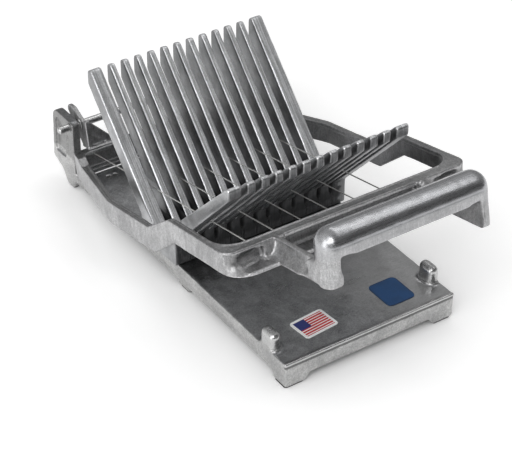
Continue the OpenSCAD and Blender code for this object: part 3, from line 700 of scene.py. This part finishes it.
def cradle_marks(co, normals):
    """Painted shade darkens the fins' sides, the walls and bottoms of the slots, the deep part of
    the V, the underside of the fins' front part, the foot's front and rear walls and the first
    fin's outer side."""
    x, y, z = co.T
    behind = y - V_BOTTOM.y
    sideways = ramp(np.abs(normals[:, 0]), 0.6, 0.9)
    lengthways = ramp(np.abs(normals[:, 1]), 0.5, 0.8)
    between = np.abs(x) < (FIN_HALF + 0.2) * FIN_PITCH
    side_tone = FIN_SIDE + FIN_SIDE_LOW * band(z, (44, 30)) + FIN_SIDE_HIGH * band(z, (50, 105))
    sides = sideways * between * side_tone
    ends = sideways * ~between * ramp(normals[:, 0], 0.2, -0.2)
    deep = band(z, (46, 42)) * between * (np.abs(behind + FOOT_HALF - 5 * MM) < 8 * MM)
    under = (behind < -10 * MM) * ramp(-normals[:, 1] - 0.6 * normals[:, 2], 0.2, 0.8)
    foot = (np.abs(np.abs(behind) - FOOT_HALF) < 1.6 * MM) * band(z, (44, 40)) * lengthways
    slot = band(z, (32, 30.5)) * between * (z > PLATE_TOP + 6 * MM)
    return {"shade": np.maximum.reduce((sides, FIN_END * ends, FIN_DEEP * deep, FIN_UNDER * under,
                                        FOOT_WALL * foot, SLOT_BOTTOM * slot))}


# Arm, measured from the rod with the arm level: ahead of it and above it
def from_rod(co):
    return ROD.y - co[:, 1], co[:, 2] - ROD.z


def on_rim(ahead, up):
    """Whether a point is as high as the tops of the side rims, the rear rim or the front rim."""
    side, rear, front = (np.abs(up - height * MM) < RIM_SLACK for height in RIM_TOPS)
    return side | rear | (front & (ahead < FRONT_RIM_END))


def sink_tops(mesh):
    """The rims' tops lie a little lower between the beads along their edges."""
    co, normals = positions(mesh), normals_of(mesh)
    near_edge = spread(mesh, np.clip(bend_of(mesh) / 0.3, 0, 1), 4)
    top = ramp(normals[:, 2], 0.93, 0.99) * on_rim(*from_rod(co))
    co[:, 2] -= BEAD_HEIGHT * top * ramp(near_edge, 0.1, 0.02)
    set_positions(mesh, co)


def shape_arm(mesh):
    """Rounds the front channel, its ends, the handle's risers and its inside corners."""
    co = positions(mesh)
    ahead, up = from_rod(co)
    for ahead_ends, up_ends, out_ends, rounds in SOFT_STRETCHES:
        weight = band(ahead, *ahead_ends) * band(up, *up_ends) * band(np.abs(co[:, 0]), *out_ends)
        soften(mesh, weight, rounds)
    sink_tops(mesh)
    wobble(mesh, ARM_WAVES)


def arm_marks(co, normals):
    """The handle's round top has a bright finish, and its flat below less of one. Painted shade
    darkens the front channel's walls, the inner sides of the frame and the rims' tops, more so at
    the sides."""
    ahead, up = from_rod(co)
    out, outwards = np.abs(co[:, 0]), normals[:, 0] * np.sign(co[:, 0])
    grip = band(ahead, (262, 264))
    round_top = grip * band(up - HANDLE_AXIS_UP, (-1.5, 0.5))
    flat = grip * band(up, (0, 2))
    inner = ramp(-outwards, 0.6, 0.9) * (out > 58 * MM) * (1 - grip)
    channel = band(ahead, (224, 223.4), (217, 219)) * (np.abs(normals[:, 1]) > 0.5)
    channel = channel * (up < -5.5 * MM)
    rim_tone = RIM_SHADE + RIM_SHADE_REAR * band(ahead, (205, 190))
    rim = ramp(normals[:, 2], 0.9, 0.98) * on_rim(ahead, up) * rim_tone
    return {"polish_and_sheen": np.maximum(round_top, GRIP_FLAT_POLISH * flat),
            "shade": np.maximum.reduce((CHANNEL_SHADE * channel, INNER_SHADE * inner, rim))}


# The three castings
# The base's faces that look up get the darker tone of up_dark, painted shade
base_metal = cast_metal("base_metal", (0.41, 0.41, 0.41), (0.56, 0.56, 0.555), (0.36, 0.5),
                        (0.6, 0.6, 0.6), speckle=0.2, up_dark=(0.42, 0.425, 0.435),
                        up_rough=(0.3, 0.44))
# The cradle's metal is lighter than the other castings', a painted highlight that makes its fins'
# faces look lit; their sides get painted shade from cradle_marks
fin_metal = cast_metal("fin_metal", (0.62, 0.63, 0.645), (0.84, 0.845, 0.86), (0.34, 0.46),
                       (0.8, 0.8, 0.8), speckle=0.1, streaks=(1, 0.03, 0.03), streak_depth=0.34,
                       wear_and_glint_share=1.0, blotches=0.4, painted_shade_front=FIN_FRONT + 1.2 * MM)
arm_metal = cast_metal("arm_metal", (0.37, 0.37, 0.375), (0.5, 0.5, 0.505), (0.34, 0.46),
                       (0.46, 0.465, 0.48), speckle=0.2, streaks=(1, 0.3, 0.08),
                       streak_depth=0.16)

level = Matrix.Translation(ROD) @ Matrix.Rotation(ARM_LIFT, 4, "X") @ Matrix.Translation(-ROD)
base_mesh = remeshed(nodes["base_casting"], voxel_mm=0.6, rounds=2, keep=0.3, shape=shape_base,
                     marks=base_marks, reach=0.35)
new_piece("base_body", base_mesh, "base", base_metal, "base_casting")
cradle_mesh = remeshed(nodes["fin_cradle"], voxel_mm=0.65, rounds=2, keep=0.3, shape=shape_cradle,
                       marks=cradle_marks, reach=0.25)
new_piece("cradle_body", cradle_mesh, "base", fin_metal, "fin_cradle")
arm_mesh = remeshed(nodes["arm_frame"], voxel_mm=0.5, rounds=3, keep=0.4, shape=shape_arm,
                    marks=arm_marks, reach=0.25, to_level=level)
new_piece("arm_body", arm_mesh, "arm", arm_metal, "arm_frame")


# Small parts, which keep their solids
def dress(names, material):
    for name in names:
        mesh = nodes[name].data
        mesh.materials.clear()
        mesh.materials.append(material)


dress(["hinge_rod", "rod_clip_left", "rod_clip_right", "cradle_screws", "cradle_washers",
       "clamp_screws", "clamp_washers", "wire_ferrules"],
      bright_steel("steel", (0.62, 0.62, 0.62), 0.22, (0.1, 1, 1)))
dress([f"cutting_wire_{k}" for k in range(1, 7)],
      bright_steel("wire_steel", (0.78, 0.78, 0.76), 0.3, (0.2, 0.2, 0.2), line_mm=3, dirt=0.15))
dress([f"foot_pad_{row}_{side}" for row in ("front", "middle", "rear")
       for side in ("left", "right")], rubber())
dress(["plain_label"], plain_vinyl())
dress(["striped_label"], striped_vinyl())


# Stage
def add_stage():
    """A pale floor that is white to the camera and to reflections, and keeps a soft shadow: a real
    one in its diffuse light, and a painted one where its glow fades near the object.
    """
    mesh = bpy.data.meshes.new("floor")
    size = FLOOR_SIZE
    mesh.from_pydata([(-size, -size, 0), (size, -size, 0), (size, size, 0), (-size, size, 0)],
                     [], [(0, 1, 2, 3)])
    floor = bpy.data.objects.new("floor", mesh)
    scene.collection.objects.link(floor)
    n = material_nodes("floor")
    diffuse = n.add("ShaderNodeBsdfDiffuse")
    n.put(diffuse.inputs["Color"], FLOOR_COLOUR)
    path = n.add("ShaderNodeLightPath")
    seen = n.maths("ADD", path.outputs["Is Camera Ray"], path.outputs["Is Glossy Ray"], clamp=True)
    open_sky = n.add("ShaderNodeAmbientOcclusion", samples=8)
    open_sky.inputs["Distance"].default_value = SHADOW_REACH
    open_part = n.maths("POWER", open_sky.outputs["AO"], SHADOW_POWER)
    glow = n.add("ShaderNodeEmission")
    n.put(glow.inputs["Strength"], n.times(seen, open_part, FLOOR_GLOW))
    both = n.add("ShaderNodeAddShader")
    n.put(both.inputs[0], diffuse.outputs[0])
    n.put(both.inputs[1], glow.outputs[0])
    n.surface(both)
    mesh.materials.append(n.owner)


def add_world():
    """White to the camera; to the object a soft studio, dimmer in front of it, where the
    photographer stands, and brighter above and at the left."""
    scene.world = bpy.data.worlds.new("studio")
    n = Nodes(scene.world, "ShaderNodeOutputWorld")
    towards = n.split(n.add("ShaderNodeTexCoord").outputs["Generated"])
    around = n.remap(towards["Y"], -0.75, 0.1, WORLD_FRONT, WORLD_BACK)
    high = n.remap(towards["Z"], 0.3, 0.9, 1.0, WORLD_TOP)
    left = n.remap(towards["X"], -0.9, -0.2, WORLD_LEFT, 0.0)
    strength = n.maths("ADD", n.times(around, high), left)
    seen = n.add("ShaderNodeLightPath").outputs["Is Camera Ray"]
    background = n.add("ShaderNodeBackground")
    n.put(background.inputs["Strength"], n.most(strength, seen))
    n.surface(background)


def add_lamp(name, place, size, power):
    """A soft box that faces the middle of the object."""
    data = bpy.data.lights.new(name, "AREA")
    data.shape, data.size, data.size_y, data.energy = "RECTANGLE", size[0], size[1], power
    lamp = bpy.data.objects.new(name, data)
    scene.collection.objects.link(lamp)
    lamp.location = place
    lamp.rotation_euler = (-Vector(place)).to_track_quat("-Z", "Y").to_euler()


add_camera()
add_stage()
add_world()
for lamp_values in LAMPS:
    add_lamp(*lamp_values)

scene.view_settings.view_transform = "Standard"
